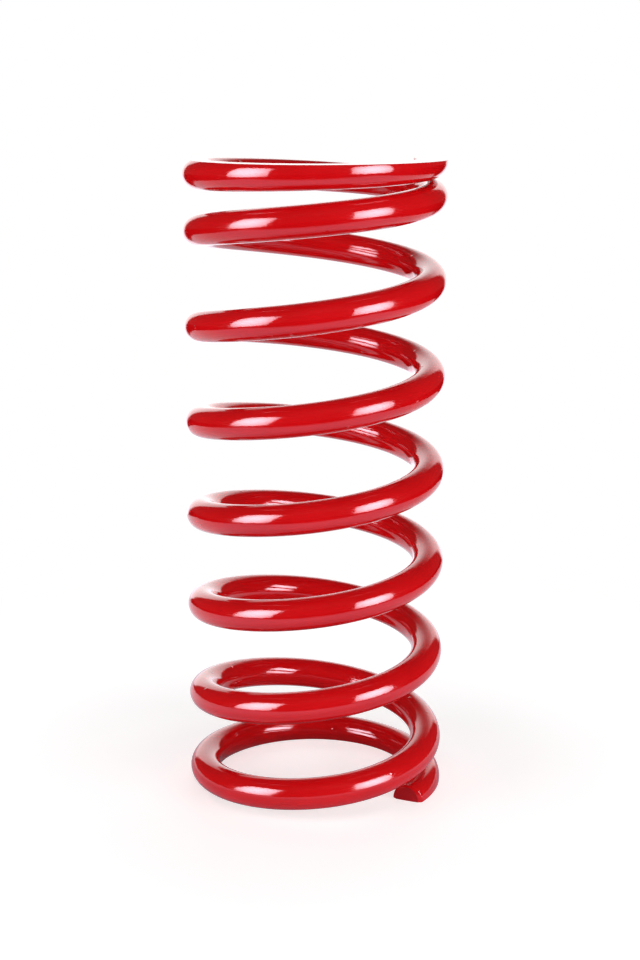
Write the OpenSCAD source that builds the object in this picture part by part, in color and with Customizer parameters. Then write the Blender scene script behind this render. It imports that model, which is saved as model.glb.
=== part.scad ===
// Helical compression spring with closed, ground ends, wound right-handed from one round coated wire.
// Lengths are millimetres. The lower ground face lies on z = 0, up is +Z and the front is -Y.

/* [Coil] */
// inside diameter of the coil, the size that spring seats and damper bodies are chosen by
inside_d = 62; // [45:0.5:90]
// wire diameter over the coat
wire_d = 9.7; // [6:0.1:14]
// free length between the two ground faces
free_length = 200; // [150:1:300]
// turns of wire from tip to tip
turns = 8.13; // [7:0.01:10]

/* [Ends] */
// direction of the lower tip, counterclockwise from +X seen from above
tip_angle = -36; // [-180:1:180]
// turns at each tip that are wound close, at an even low pitch
closed_turns = 0.5; // [0.3:0.05:0.8]
// turns from the lower tip to the full pitch
lower_run = 1.1; // [1:0.05:2]
// turns from the upper tip to the full pitch
upper_run = 1.7; // [1:0.05:2]
// clear gap between the lower tip and the turn above it
lower_gap = 2.4; // [0.3:0.1:6]
// clear gap between the upper tip and the turn below it
upper_gap = 0.3; // [0.3:0.1:6]
// thickness of wire that the grinding leaves at each sawn tip
tip_thickness = 5.2; // [4:0.1:7]
// turn of each sawn face away from square, so that its inner side stands out
tip_skew = 12; // [0:1:20]
// width of the broken edge at the sides of each sawn tip, where it is twice as wide as over the top
tip_bevel = 1.2; // [0.2:0.1:1.5]

/* [Hidden] */
wire_r = wire_d / 2;
mean_r = inside_d / 2 + wire_r;
// height of the wire's middle over the ground face at a tip
tip_height = tip_thickness - wire_r;
// widest angle round the wire between neighbouring points of a section
section_step = 20;
// points in one half of a section, odd so that one lies on the widest line
half_points = 2 * ceil((180 / section_step - 1) / 2) + 1;
section_points = 2 * half_points;
// steepest section angle that is kept, so the top and the bottom of a section are short flats
pole = 90 - 180 / section_points;
// angle between neighbouring sections
ring_step = 9.6;
bevel_turn = tip_bevel / (2 * PI * mean_r);
ring_count = ceil((turns - 2 * bevel_turn) * 360 / ring_step);

// Opening of an end u turns from its tip: none over the closed turns, even from there to the run, then full.
function opening(u, run) = max(0, min(1, (u - closed_turns) / (run - closed_turns)));
// the same summed from the tip, in turns of full pitch
function opened(u, run) = (run - closed_turns) / 2 * pow(opening(u, run), 2) + max(0, u - run);

// turns at the rise of one wire and one gap that an end is worth, the rest being turns of full pitch
function end_turns(run) = (run + closed_turns) / 2 / (1 - opened(1, run));
function end_height(run, gap) = end_turns(run) * (wire_d + gap);
full_turns = turns - end_turns(lower_run) - end_turns(upper_run);
ends_height = 2 * tip_height + end_height(lower_run, lower_gap) + end_height(upper_run, upper_gap);
pitch = (free_length - ends_height) / full_turns;

// pitch at a tip that brings the wire one wire and one gap higher after the first turn
function tip_pitch(run, gap) = (wire_d + gap - pitch * opened(1, run)) / (1 - opened(1, run));
function end_rise(u, run, gap) =
    let (start = tip_pitch(run, gap))
    start * u + (pitch - start) * opened(u, run);
function end_pitch(u, run, gap) =
    let (start = tip_pitch(run, gap))
    start + (pitch - start) * opening(u, run);

// height of the wire's middle u turns from the lower tip, and its rise per turn there
function rise(u) =
    u < turns / 2 ? tip_height + end_rise(u, lower_run, lower_gap) :
    free_length - tip_height - end_rise(turns - u, upper_run, upper_gap);
function rise_per_turn(u) =
    u < turns / 2 ? end_pitch(u, lower_run, lower_gap) :
    end_pitch(turns - u, upper_run, upper_gap);

// section angles where the two ground planes cut the wire, or the pole where they don't reach it
function clamp(x) = max(-1, min(1, x));
function low_cut(z, upright) = max(-pole, asin(clamp(-z / upright)));
function high_cut(z, upright) = min(pole, asin(clamp((free_length - z) / upright)));

// One section across the wire, its outer half upward and then its inner half downward.
// side and top are its half widths, and skew turns it out of square.
function section(u, side, top, skew) =
    let (
        a = tip_angle + 360 * u,
        z = rise(u),
        lean = atan(rise_per_turn(u) / (2 * PI * mean_r)),
        low = low_cut(z, top * cos(lean)),
        high = high_cut(z, top * cos(lean)),
        step = (high - low) / (half_points - 1),
        outer = [for (k = [0 : half_points - 1]) low + k * step],
        inner = [for (k = [half_points - 1 : -1 : 0]) 180 - low - k * step]
    )
    [for (s = concat(outer, inner))
        let (out = mean_r + side * cos(s), along = side * cos(s) * tan(skew) - top * sin(s) * sin(lean))
        [
            out * cos(a) - along * sin(a),
            out * sin(a) + along * cos(a),
            z + top * sin(s) * cos(lean)
        ]];

// turns at each ring, with one smaller ring at each tip for the broken edge
ring_turns = concat(
    [0],
    [for (i = [0 : ring_count]) bevel_turn + (turns - 2 * bevel_turn) * i / ring_count],
    [turns]
);
last_ring = len(ring_turns) - 1;
function is_tip(i) = i == 0 || i == last_ring;
function ring_side(i) = is_tip(i) ? wire_r - tip_bevel : wire_r;
function ring_top(i) = is_tip(i) ? wire_r - tip_bevel / 2 : wire_r;
// both rings of a broken edge are skewed, each tip's inner side away from the coil
function ring_skew(i) = i < 2 ? tip_skew : i > last_ring - 2 ? -tip_skew : 0;

// Spring wire, one solid swept along the coil.
module coil_spring() {
    points = [for (i = [0 : last_ring])
        each section(ring_turns[i], ring_side(i), ring_top(i), ring_skew(i))];
    walls = [for (i = [0 : last_ring - 1]) for (k = [0 : section_points - 1])
        let (
            j = (k + 1) % section_points,
            a = i * section_points + k,
            b = i * section_points + j,
            c = (i + 1) * section_points + j,
            d = (i + 1) * section_points + k
        )
        each [[a, b, c], [a, c, d]]];
    lower_tip = [for (k = [section_points - 1 : -1 : 0]) k];
    upper_tip = [for (k = [0 : section_points - 1]) last_ring * section_points + k];
    color([0.72, 0.03, 0.04])
        polyhedron(points = points, faces = concat([lower_tip], walls, [upper_tip]), convexity = 20);
}

coil_spring();
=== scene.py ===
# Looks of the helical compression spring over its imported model. Metres, +Z is up and -Y is the front.
import math

import bpy
import numpy as np
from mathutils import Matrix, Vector


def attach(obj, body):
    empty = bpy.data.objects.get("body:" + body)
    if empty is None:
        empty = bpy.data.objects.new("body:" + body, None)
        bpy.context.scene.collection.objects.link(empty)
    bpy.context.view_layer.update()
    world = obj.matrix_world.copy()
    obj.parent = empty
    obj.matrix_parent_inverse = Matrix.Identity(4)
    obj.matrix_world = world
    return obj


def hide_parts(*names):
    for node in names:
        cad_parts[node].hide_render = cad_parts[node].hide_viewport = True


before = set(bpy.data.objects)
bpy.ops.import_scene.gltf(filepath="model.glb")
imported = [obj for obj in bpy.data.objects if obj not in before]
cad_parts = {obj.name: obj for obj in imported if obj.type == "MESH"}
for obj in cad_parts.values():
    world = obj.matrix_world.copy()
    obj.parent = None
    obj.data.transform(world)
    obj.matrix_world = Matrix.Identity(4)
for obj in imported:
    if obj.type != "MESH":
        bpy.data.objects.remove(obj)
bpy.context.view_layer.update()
scene = bpy.context.scene
scene.view_settings.view_transform = "Standard"

# Sizes of the coil, as in the part's source
INSIDE = 0.062
WIRE = 0.0097
LENGTH = 0.200
TURNS = 8.13
# direction of the lower tip, counterclockwise from +X seen from above
TIP_ANGLE = math.radians(-36)
# turns at each tip that are wound close, at an even low pitch
CLOSED = 0.5
# turns from a tip to the full pitch, and clear gap between the tip and the next turn
LOWER = (1.1, 0.0024)
UPPER = (1.7, 0.0003)
# thickness of wire that the grinding leaves at a tip, and turn of the sawn face out of square
TIP_THICKNESS = 0.0052
TIP_SKEW = math.radians(12)
# width of the broken edge at the sides of a tip, where it is twice as wide as over the top
TIP_BEVEL = 0.0012
WIRE_R = WIRE / 2
MEAN_R = INSIDE / 2 + WIRE_R
AROUND = 2 * math.pi * MEAN_R
TIP_HEIGHT = TIP_THICKNESS - WIRE_R

# Fineness of the sweep: sections for each turn, and steps along a side, a ground flat and a rounded edge
RINGS_PER_TURN = 96
ARC_STEPS = 22
FLAT_STEPS = 6
EDGE_STEPS = 3
# rounding that the coat leaves on the ground edges and along the broken edges of the tips
EDGE_R = 0.00025
SOFTENED = 0.00014
# length of wire that the broken edge of a tip takes up
BEVEL_DEPTH = 0.0006
# length of wire over which the skew of a tip runs out
SKEW_RUN = 0.006
# share of the wire's radius above which a ground plane only grazes it
GRAZING = math.cos(math.radians(8))
# depth of grinding at which the ground face shows fully
GROUND_DEPTH = 0.0003


# Rise of the wire: closed turns at each tip, then a pitch that opens evenly to the full one
def opening(u, run):
    return np.clip((u - CLOSED) / (run - CLOSED), 0, 1)


def opened(u, run):
    return (run - CLOSED) / 2 * opening(u, run) ** 2 + np.maximum(0, u - run)


def end_turns(run):
    return (run + CLOSED) / 2 / (1 - opened(1, run))


ends_turns = sum(end_turns(run) for run, gap in (LOWER, UPPER))
ends_height = 2 * TIP_HEIGHT + sum(end_turns(run) * (WIRE + gap) for run, gap in (LOWER, UPPER))
PITCH = (LENGTH - ends_height) / (TURNS - ends_turns)


def tip_pitch(run, gap):
    return (WIRE + gap - PITCH * opened(1, run)) / (1 - opened(1, run))


def end_rise(u, run, gap):
    start = tip_pitch(run, gap)
    return start * u + (PITCH - start) * opened(u, run)


def end_pitch(u, run, gap):
    start = tip_pitch(run, gap)
    return start + (PITCH - start) * opening(u, run)


def rise(u):
    if u < TURNS / 2:
        return TIP_HEIGHT + end_rise(u, *LOWER)
    return LENGTH - TIP_HEIGHT - end_rise(TURNS - u, *UPPER)


def rise_per_turn(u):
    if u < TURNS / 2:
        return end_pitch(u, *LOWER)
    return end_pitch(TURNS - u, *UPPER)


def cap_side(r, h):
    """Rounded edge between a round wire and a plane h above its middle.

    Gives the angle where the arc ends, then for the edge and for the flat the places of their points,
    the way these face, and their ground share.
    """
    held = min(h, r * GRAZING)
    x_c = math.sqrt((r - EDGE_R) ** 2 - (held - EDGE_R) ** 2)
    a_end = math.atan2(held - EDGE_R, x_c)
    turn = np.linspace(a_end, math.pi / 2, EDGE_STEPS + 1)[1:]
    x_edge = x_c + EDGE_R * np.cos(turn)
    y_edge = held - EDGE_R + EDGE_R * np.sin(turn)
    x_flat = np.linspace(x_c, -x_c, FLAT_STEPS + 1)[1:-1]
    y_flat = np.full(len(x_flat), held)
    turn_flat = np.full(len(x_flat), math.pi / 2)
    if h > held:
        # the plane only grazes the wire or misses it, so these points follow the round wire under it
        y_edge = np.minimum(h, np.sqrt(r * r - x_edge**2))
        y_flat = np.minimum(h, np.sqrt(r * r - x_flat**2))
        turn = np.where(y_edge < h, np.arctan2(y_edge, x_edge), math.pi / 2)
        turn_flat = np.where(y_flat < h, np.arctan2(y_flat, x_flat), math.pi / 2)
    share = min(1, max(0, (r - h) / GROUND_DEPTH))
    ground_edge = np.where(np.arange(EDGE_STEPS) == EDGE_STEPS - 1, share, 0.0)
    ground_flat = np.full(len(x_flat), share)
    return a_end, (x_edge, y_edge, turn, ground_edge), (x_flat, y_flat, turn_flat, ground_flat)


def outline(r, h_top, h_low):
    """One section of the wire: places of its points outward and upward, facing angles and ground share."""
    top_end, top_edge, top_flat = cap_side(r, min(r, h_top))
    low_end, low_edge, low_flat = cap_side(r, min(r, h_low))
    arc = np.linspace(-low_end, top_end, ARC_STEPS + 1)
    back = arc[::-1]
    xs = [r * np.cos(arc), top_edge[0], top_flat[0], -top_edge[0][::-1], -r * np.cos(back)]
    ys = [r * np.sin(arc), top_edge[1], top_flat[1], top_edge[1][::-1], r * np.sin(back)]
    turns = [arc, top_edge[2], top_flat[2], math.pi - top_edge[2][::-1], math.pi - back]
    ground = [0 * arc, top_edge[3], top_flat[3], top_edge[3][::-1], 0 * back]
    xs += [-low_edge[0], -low_flat[0], low_edge[0][::-1]]
    ys += [-low_edge[1], -low_flat[1], -low_edge[1][::-1]]
    turns += [math.pi + low_edge[2], math.pi + low_flat[2], -low_edge[2][::-1]]
    ground += [low_edge[3], low_flat[3], low_edge[3][::-1]]
    return [np.concatenate(parts) for parts in (xs, ys, turns, ground)]


def ring(u, inset, turned):
    """Points, normals and ground share of one section.

    inset makes the section smaller at its sides, and half as much over its top.
    turned is 0 where the surface faces sideways, 1 on the broken edge round a tip and 2 on its sawn face.
    """
    z = float(rise(u))
    lean = math.atan(rise_per_turn(u) / AROUND)
    top_r = WIRE_R - inset / 2
    x, y, s, ground = outline(top_r, (LENGTH - z) / math.cos(lean), z / math.cos(lean))
    x *= (WIRE_R - inset) / top_r
    end = -1 if u < TURNS / 2 else 1
    from_tip = min(u, TURNS - u) * AROUND
    skew = TIP_SKEW * min(1, max(0, 1 - (from_tip - BEVEL_DEPTH) / SKEW_RUN))
    a = TIP_ANGLE + 2 * math.pi * u - end * x * math.tan(skew) / MEAN_R
    out = np.stack([np.cos(a), np.sin(a), 0 * a], axis=1)
    level = np.stack([-np.sin(a), np.cos(a), 0 * a], axis=1)
    up = np.array([0, 0, math.cos(lean)]) - level * math.sin(lean)
    along = np.array([0, 0, math.sin(lean)]) + level * math.cos(lean)
    points = out * (MEAN_R + x)[:, None] + up * y[:, None] + np.array([0, 0, z])
    side = out * np.cos(s)[:, None] + up * np.sin(s)[:, None]
    face = end * along * math.cos(skew) + out * math.sin(skew)
    slope = np.arctan(TIP_BEVEL / BEVEL_DEPTH * (1 - np.sin(s) ** 2 / 2)) * (1 - ground)
    turn = min(turned, 1) * slope + max(turned - 1, 0) * (math.pi / 2 - slope)
    normals = side * np.cos(turn)[:, None] + face * np.sin(turn)[:, None]
    return points, normals, ground


def stations():
    """Turns, inset and turned share of every section, with the broken edge at each tip."""
    share = SOFTENED / TIP_BEVEL
    # length of wire from the tip, inset and turned share, from the sawn face to the full wire
    edge = (
        (0.0, TIP_BEVEL + SOFTENED / 2, 2),
        (BEVEL_DEPTH * share / 4, TIP_BEVEL - SOFTENED / 8, 1.5),
        (BEVEL_DEPTH * share, TIP_BEVEL - SOFTENED, 1),
        (BEVEL_DEPTH * (1 - share), SOFTENED, 1),
        (BEVEL_DEPTH * (1 - share / 4) + SOFTENED / 8, SOFTENED / 4, 0.5),
        (BEVEL_DEPTH + SOFTENED / 2, 0.0, 0),
    )
    first = edge[-1][0] / AROUND
    count = math.ceil((TURNS - 2 * first) * RINGS_PER_TURN)
    middle = np.linspace(first, TURNS - first, count + 1)[1:-1]
    lower = [(d / AROUND, inset, turned) for d, inset, turned in edge]
    upper = [(TURNS - u, inset, turned) for u, inset, turned in reversed(lower)]
    return lower + [(u, 0.0, 0) for u in middle] + upper


def coil_mesh():
    """The wire as one closed mesh with exact normals, and shares that mark its ground and sawn faces."""
    places = stations()
    made = [ring(*place) for place in places]
    points = np.concatenate([p for p, n, g in made])
    normals = np.concatenate([n for p, n, g in made])
    ground = np.concatenate([g for p, n, g in made])
    size = len(made[0][0])
    sawn = np.repeat([max(turned - 1, 0) for u, inset, turned in places], size)
    rings = len(made)
    faces = [tuple(range(size)), tuple(reversed(range((rings - 1) * size, rings * size)))]
    for i in range(rings - 1):
        for k in range(size):
            j = (k + 1) % size
            faces.append(((i + 1) * size + k, (i + 1) * size + j, i * size + j, i * size + k))
    mesh = bpy.data.meshes.new("coil_wire")
    mesh.from_pydata(points.tolist(), [], faces)
    mesh.update()
    mesh.shade_smooth()
    normals /= np.linalg.norm(normals, axis=1, keepdims=True)
    mesh.normals_split_custom_set_from_vertices(normals.tolist())
    for name, share in (("ground", ground), ("sawn", sawn)):
        mesh.attributes.new(name, "FLOAT", "POINT").data.foreach_set("value", share.astype(np.float32))
    return mesh


def link(name, data):
    obj = bpy.data.objects.new(name, data)
    scene.collection.objects.link(obj)
    return obj


# Camera at the photograph's viewing angle: lens in millimetres, angles in degrees
SENSOR = 36
LENS = 65.51
CAMERA_PLACE = (0, -0.5391, 0.2241)
LOOK_DOWN = 12.985
LOOK_RIGHT = 0.161
camera_data = bpy.data.cameras.new("camera")
camera_data.sensor_width = SENSOR
camera_data.lens = LENS
camera = link("camera", camera_data)
camera.location = CAMERA_PLACE
camera.rotation_euler = (math.radians(90 - LOOK_DOWN), 0, math.radians(-LOOK_RIGHT))
scene.camera = camera

# Spring
coil = link("coil_wire", coil_mesh())
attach(coil, "root")
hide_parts("coil_spring")


# Shader nodes
WHITE = (1, 1, 1, 1)


def add(tree, kind, inputs=None, **settings):
    """One shader node with its settings, and its sockets set to values or linked to other nodes' outputs."""
    made = tree.nodes.new(kind)
    for name, value in settings.items():
        setattr(made, name, value)
    for name, value in (inputs or {}).items():
        if isinstance(value, bpy.types.NodeSocket):
            tree.links.new(value, made.inputs[name])
        else:
            made.inputs[name].default_value = value
    return made


def math_node(tree, operation, a, b):
    return add(tree, "ShaderNodeMath", {0: a, 1: b}, operation=operation).outputs[0]


def times(tree, a, b):
    return math_node(tree, "MULTIPLY", a, b)


def plus(tree, a, b):
    return math_node(tree, "ADD", a, b)


def ramp(tree, value, low, high, to_low=0.0, to_high=1.0):
    """Smooth step of a value between two levels."""
    inputs = {"Value": value, "From Min": low, "From Max": high, "To Min": to_low, "To Max": to_high}
    return add(tree, "ShaderNodeMapRange", inputs, interpolation_type="SMOOTHSTEP").outputs["Result"]


def mix_colour(tree, share, a, b):
    return add(tree, "ShaderNodeMix", {0: share, 6: a, 7: b}, data_type="RGBA").outputs[2]


def mix_shader(tree, share, a, b):
    return add(tree, "ShaderNodeMixShader", {0: share, 1: a, 2: b}).outputs[0]


def noise(tree, place, scale, detail):
    inputs = {"Vector": place, "Scale": scale, "Detail": detail, "Roughness": 0.5}
    return add(tree, "ShaderNodeTexNoise", inputs).outputs["Fac"]


def emission(tree, colour, strength):
    return add(tree, "ShaderNodeEmission", {"Color": colour, "Strength": strength}).outputs[0]


def empty_material(name):
    made = bpy.data.materials.new(name)
    made.use_nodes = True
    made.node_tree.nodes.remove(made.node_tree.nodes["Principled BSDF"])
    return made


# Powder coat
COAT_IOR = 1.5
# two reds that the coat drifts between, and the thinner coat over a sawn face
COAT_DEEP = (0.600, 0.0036, 0.0056, 1)
COAT_LIGHT = (0.650, 0.0046, 0.0072, 1)
COAT_SAWN = (0.450, 0.0036, 0.0084, 1)
# cells of the drift in colour and in gloss for each metre, and the noise levels between which they run
DRIFT_SCALE = 45
DRIFT_LEVELS = (0.35, 0.65)
GLOSS_SCALE = 70
GLOSS_LEVELS = (0.3, 0.7)
# least and most roughness of the coat, and what a sawn and a ground face add to it
SMOOTHEST = 0.08
ROUGHEST = 0.12
SAWN_ROUGH = 0.5
GROUND_ROUGH = 0.05
# tint of the reflection in a sawn face, which is white in the rest of the coat
SAWN_SHINE = (0.3, 0.3, 0.3, 1)
# one unit of relief, and the heights of orange peel, nibs and sawn grain in such units
RELIEF = 0.000012
PEEL_HEIGHT = 2.2
NIB_HEIGHT = 9.0
GRAIN_HEIGHT = 3.0
# cells of each relief for each metre
PEEL_SCALE = 420
NIB_SCALE = 150
LINE_SCALE = 1800
GRAIN_SCALE = 1400
# radius of a nib's top and of its foot in cells, and share of the cells that have no nib
NIB_TOP = 0.03
NIB_FOOT = 0.11
NIB_FREE = 0.3
# the grinding lines are long in Y
LINE_STRETCH = (1.0, 0.05, 1.0)


def coat_colour(tree, place, sawn):
    """Red that drifts a little along the wire, darker where the coat is thin over a sawn face."""
    drift = ramp(tree, noise(tree, place, DRIFT_SCALE, 3), *DRIFT_LEVELS)
    return mix_colour(tree, sawn, mix_colour(tree, drift, COAT_DEEP, COAT_LIGHT), COAT_SAWN)


def coat_roughness(tree, place, ground, sawn):
    """High gloss, a little lower on the ground faces, and satin on the sawn ones."""
    gloss = ramp(tree, noise(tree, place, GLOSS_SCALE, 2), *GLOSS_LEVELS, SMOOTHEST, ROUGHEST)
    dulled = plus(tree, times(tree, sawn, SAWN_ROUGH), times(tree, ground, GROUND_ROUGH))
    return plus(tree, gloss, dulled)


def coat_relief(tree, place, ground, sawn):
    """Orange peel and nibs, grinding lines through the coat on the ground faces, grain on the sawn ones."""
    peel = times(tree, noise(tree, place, PEEL_SCALE, 2), PEEL_HEIGHT)
    inputs = {"Vector": place, "Scale": NIB_SCALE, "Randomness": 1.0}
    cells = add(tree, "ShaderNodeTexVoronoi", inputs).outputs
    spot = ramp(tree, cells["Distance"], NIB_TOP, NIB_FOOT, 1.0, 0.0)
    pick = add(tree, "ShaderNodeSeparateColor", {"Color": cells["Color"]}).outputs["Red"]
    chosen = math_node(tree, "GREATER_THAN", math_node(tree, "SUBTRACT", pick, ground), NIB_FREE)
    nib = times(tree, times(tree, spot, chosen), NIB_HEIGHT)
    stretched = add(tree, "ShaderNodeVectorMath", {0: place, 1: LINE_STRETCH}, operation="MULTIPLY")
    lines = times(tree, noise(tree, stretched.outputs["Vector"], LINE_SCALE, 2), ground)
    grain = times(tree, noise(tree, place, GRAIN_SCALE, 3), times(tree, sawn, GRAIN_HEIGHT))
    height = plus(tree, plus(tree, peel, nib), plus(tree, lines, grain))
    bump = add(tree, "ShaderNodeBump", {"Height": height, "Strength": 1.0, "Distance": RELIEF})
    return bump.outputs["Normal"]


def red_coat():
    """Glossy red powder coat over the whole wire, thinner and duller on the sawn tips."""
    paint = bpy.data.materials.new("red_powder_coat")
    paint.use_nodes = True
    tree = paint.node_tree
    shader = tree.nodes["Principled BSDF"]
    shader.inputs["IOR"].default_value = COAT_IOR
    place = add(tree, "ShaderNodeTexCoord").outputs["Object"]
    ground = add(tree, "ShaderNodeAttribute", attribute_name="ground").outputs["Fac"]
    sawn = add(tree, "ShaderNodeAttribute", attribute_name="sawn").outputs["Fac"]
    tree.links.new(coat_colour(tree, place, sawn), shader.inputs["Base Color"])
    tree.links.new(coat_roughness(tree, place, ground, sawn), shader.inputs["Roughness"])
    tree.links.new(mix_colour(tree, sawn, WHITE, SAWN_SHINE), shader.inputs["Specular Tint"])
    tree.links.new(coat_relief(tree, place, ground, sawn), shader.inputs["Normal"])
    return paint


coil.data.materials.append(red_coat())


# Floor
FLOOR_WIDTH = 6.0
FLOOR_DROP = 0.00005
# distances from the coil's axis between which the shadow runs out into plain white
SHADOW_START = 0.06
SHADOW_END = 0.24
# share and level of the white emission near the axis
FILL_SHARE = 0.42
FILL_LEVEL = 1.54
# edges of the pale table, and the distances over which its front and its other edges fade
TABLE_LEFT = -0.46
TABLE_RIGHT = 0.36
TABLE_FRONT = -0.34
TABLE_BACK = 0.37
FRONT_FADE = 0.14
EDGE_FADE = 0.04
# tint of the table in the gloss: full in front of the first y, and this share of it behind the second
TABLE_TINT = (1.0, 1.0, 1.30, 1)
TINT_BEHIND = 0.35
TINT_FRONT_Y = -0.05
TINT_BACK_Y = 0.06
# level of the table in the gloss near the axis, where the coil's shade is painted on, and the distances over
# which that painted shade runs out
SHADE_LEVEL = 0.37
SHADE_START = 0.03
SHADE_END = 0.14
# the same again for the deeper painted shade inside the coil
INNER_LEVEL = 0.2
INNER_START = 0.028
INNER_END = 0.045
# grey of the table as it lights the coil, inside it, where the darker grey is painted shade of the coil, and
# outside it, and the distances between which it changes
INNER_PAINTED_SHADE_GREY = 0.2375
TABLE_GREY = 0.95
GREY_START = 0.025
GREY_END = 0.04
# the white backdrop behind it: level, and how far it reaches to each side for each metre behind
BACKDROP = 1.8
BACKDROP_LEFT = -0.52
BACKDROP_RIGHT = 0.55
BACKDROP_BLUR = 0.05
# least distance behind the coil that the reach is worked out for
LEAST_BEHIND = 0.001


def backdrop_width(tree, x, y):
    """Share of the backdrop in a direction behind the coil."""
    across = math_node(tree, "DIVIDE", x, math_node(tree, "MAXIMUM", y, LEAST_BEHIND))
    left = ramp(tree, across, BACKDROP_LEFT - BACKDROP_BLUR, BACKDROP_LEFT + BACKDROP_BLUR)
    right = ramp(tree, across, BACKDROP_RIGHT - BACKDROP_BLUR, BACKDROP_RIGHT + BACKDROP_BLUR, 1.0, 0.0)
    return times(tree, left, right)


def table_share(tree, x, y):
    """1 on the pale table, 0 past its edges."""
    left = ramp(tree, x, TABLE_LEFT, TABLE_LEFT + EDGE_FADE)
    right = ramp(tree, x, TABLE_RIGHT, TABLE_RIGHT - EDGE_FADE)
    front = ramp(tree, y, TABLE_FRONT, TABLE_FRONT + FRONT_FADE)
    back = ramp(tree, y, TABLE_BACK, TABLE_BACK - EDGE_FADE)
    return times(tree, times(tree, left, right), times(tree, front, back))


def floor_to_camera(tree, far):
    """The lit floor with the spring's shadow, with emission that makes it white outside the shadow."""
    lit = add(tree, "ShaderNodeBsdfDiffuse", {"Color": WHITE}).outputs[0]
    white = emission(tree, WHITE, ramp(tree, far, SHADOW_START, SHADOW_END, FILL_LEVEL, 1.0))
    return mix_shader(tree, ramp(tree, far, SHADOW_START, SHADOW_END, FILL_SHARE, 1.0), lit, white)


def floor_in_gloss(tree, x, y, far, table):
    """The pale table with the coil's shade painted on it, and the backdrop past its edges."""
    # painted shade of the coil on the table's emission, deeper inside the coil
    inside = ramp(tree, far, INNER_START, INNER_END, INNER_LEVEL, 1.0)
    painted_shade = times(tree, inside, ramp(tree, far, SHADE_START, SHADE_END, SHADE_LEVEL, 1.0))
    beyond = times(tree, backdrop_width(tree, x, y), BACKDROP)
    level = add(tree, "ShaderNodeMix", {0: table, 2: beyond, 3: painted_shade}, data_type="FLOAT").outputs[0]
    tinted = ramp(tree, y, TINT_FRONT_Y, TINT_BACK_Y, 1.0, TINT_BEHIND)
    return emission(tree, mix_colour(tree, tinted, WHITE, TABLE_TINT), level)


def floor_to_light(tree, far, table):
    """The plain grey that throws light back onto the coil, darkened inside the coil as painted shade."""
    # painted shade: the grey is darker inside the coil
    grey = times(tree, table, ramp(tree, far, GREY_START, GREY_END, INNER_PAINTED_SHADE_GREY, TABLE_GREY))
    pale = add(tree, "ShaderNodeCombineColor", {"Red": grey, "Green": grey, "Blue": grey}).outputs["Color"]
    return add(tree, "ShaderNodeBsdfDiffuse", {"Color": pale}).outputs[0]


def floor_material():
    """White to the camera with the spring's shadow, a pale table in its gloss and to other light."""
    made = empty_material("pale_floor")
    tree = made.node_tree
    path = add(tree, "ShaderNodeLightPath").outputs
    place = add(tree, "ShaderNodeTexCoord").outputs["Object"]
    split = add(tree, "ShaderNodeSeparateXYZ", {"Vector": place}).outputs
    far = add(tree, "ShaderNodeVectorMath", {0: place}, operation="LENGTH").outputs["Value"]
    table = table_share(tree, split["X"], split["Y"])
    plain = floor_to_light(tree, far, table)
    in_gloss = floor_in_gloss(tree, split["X"], split["Y"], far, table)
    unseen = mix_shader(tree, path["Is Glossy Ray"], plain, in_gloss)
    both = mix_shader(tree, path["Is Camera Ray"], unseen, floor_to_camera(tree, far))
    tree.links.new(both, tree.nodes["Material Output"].inputs["Surface"])
    return made


def plane(name, width, height):
    mesh = bpy.data.meshes.new(name)
    x = width / 2
    y = height / 2
    mesh.from_pydata([(-x, -y, 0), (x, -y, 0), (x, y, 0), (-x, y, 0)], [], [(0, 1, 2, 3)])
    return link(name, mesh)


floor = plane("floor", FLOOR_WIDTH, FLOOR_WIDTH)
floor.location.z = -FLOOR_DROP
floor.data.materials.append(floor_material())


# Light
AMBIENT = 0.06
DARK_STUDIO = 0.05
# upward part of a direction at which the backdrop starts to fade, and at which it ends
BACKDROP_FADE = 0.36
BACKDROP_TOP = 0.66
# colour of the soft boxes, and share of their level that is lost halfway along a side
BOX_COLOUR = (1.0, 0.87, 1.0, 1)
BOX_FALL = 0.5
# distance of the soft boxes and side lights, and height that the side lights are aimed at, so that less of
# their light reaches the lower turns
SIDE = 0.8
OVER_COIL = 0.8
MIDDLE = LENGTH / 2


def world_light():
    """White to the camera, even light on surfaces, and in the gloss a dark studio with a white backdrop."""
    world = bpy.data.worlds.new("studio")
    world.use_nodes = True
    tree = world.node_tree
    path = add(tree, "ShaderNodeLightPath").outputs
    way = add(tree, "ShaderNodeTexCoord").outputs["Generated"]
    split = add(tree, "ShaderNodeSeparateXYZ", {"Vector": way}).outputs
    low = ramp(tree, split["Z"], BACKDROP_FADE, BACKDROP_TOP, 1.0, 0.0)
    panel = times(tree, backdrop_width(tree, split["X"], split["Y"]), low)
    shine = plus(tree, times(tree, panel, BACKDROP), DARK_STUDIO)
    gloss = times(tree, path["Is Glossy Ray"], shine)
    clear = math_node(tree, "MAXIMUM", path["Is Camera Ray"], path["Is Transmission Ray"])
    even = times(tree, path["Is Diffuse Ray"], AMBIENT)
    background = tree.nodes["Background"].inputs
    tree.links.new(plus(tree, plus(tree, gloss, clear), even), background["Strength"])
    background["Color"].default_value = WHITE
    scene.world = world


world_light()


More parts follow.
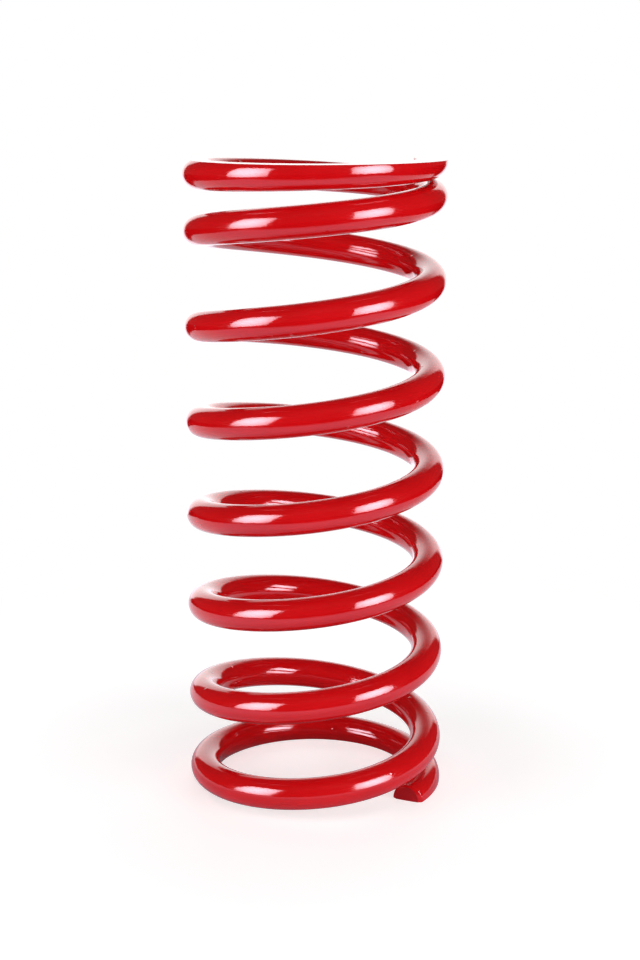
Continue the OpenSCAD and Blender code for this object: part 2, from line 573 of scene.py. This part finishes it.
def put(obj, azimuth, distance, height, aim):
    """Place an object round the coil, facing the coil's axis at the height aim.

    azimuth is in degrees from the front toward +X.
    """
    a = math.radians(azimuth)
    obj.location = (distance * math.sin(a), -distance * math.cos(a), height)
    toward = Vector((0, 0, aim)) - obj.location
    obj.rotation_euler = toward.to_track_quat("-Z", "Y").to_euler()


def lamp(name, azimuth, distance, height, aim, size, level):
    """Area light for the paint's own colour. level is its brightness, white being 1."""
    light = bpy.data.lights.new(name, "AREA")
    light.shape = "RECTANGLE"
    light.size, light.size_y = size
    light.energy = level * math.pi * size[0] * size[1]
    obj = link(name, light)
    put(obj, azimuth, distance, height, aim)
    obj.visible_camera = False
    obj.visible_glossy = False


def shine_material(size, level):
    """Lilac white that is brightest in the middle of a soft box."""
    made = empty_material("soft_box_shine")
    tree = made.node_tree
    place = add(tree, "ShaderNodeTexCoord").outputs["Object"]
    scale = (2 / size[0], 2 / size[1], 0)
    scaled = add(tree, "ShaderNodeVectorMath", {0: place, 1: scale}, operation="MULTIPLY").outputs["Vector"]
    squared = add(tree, "ShaderNodeVectorMath", {0: scaled, 1: scaled}, operation="DOT_PRODUCT")
    fall = times(tree, squared.outputs["Value"], -BOX_FALL * level)
    glow = emission(tree, BOX_COLOUR, plus(tree, fall, level))
    tree.links.new(glow, tree.nodes["Material Output"].inputs["Surface"])
    return made


def soft_box(name, azimuth, distance, height, size, level):
    """Soft box as the gloss shows it."""
    card = plane(name, *size)
    put(card, azimuth, distance, height, height)
    card.data.materials.append(shine_material(size, level))
    card.visible_camera = False
    card.visible_diffuse = False
    card.visible_shadow = False


soft_box("left_box", azimuth=-58.5, distance=SIDE, height=0.42, size=(0.55, 0.80), level=22.0)
soft_box("right_box", azimuth=49, distance=SIDE, height=0.345, size=(0.52, 0.70), level=22.5)
lamp("left_light", azimuth=-64, distance=SIDE, height=0.32, aim=OVER_COIL, size=(0.55, 0.74), level=4.6)
lamp("right_light", azimuth=52, distance=SIDE, height=0.28, aim=OVER_COIL, size=(0.52, 0.70), level=5.8)
lamp("top_light", azimuth=0, distance=0.5, height=0.7, aim=MIDDLE, size=(0.6, 0.4), level=1.6)
lamp("back_light", azimuth=172, distance=0.9, height=0.5, aim=MIDDLE, size=(0.7, 0.5), level=3.0)
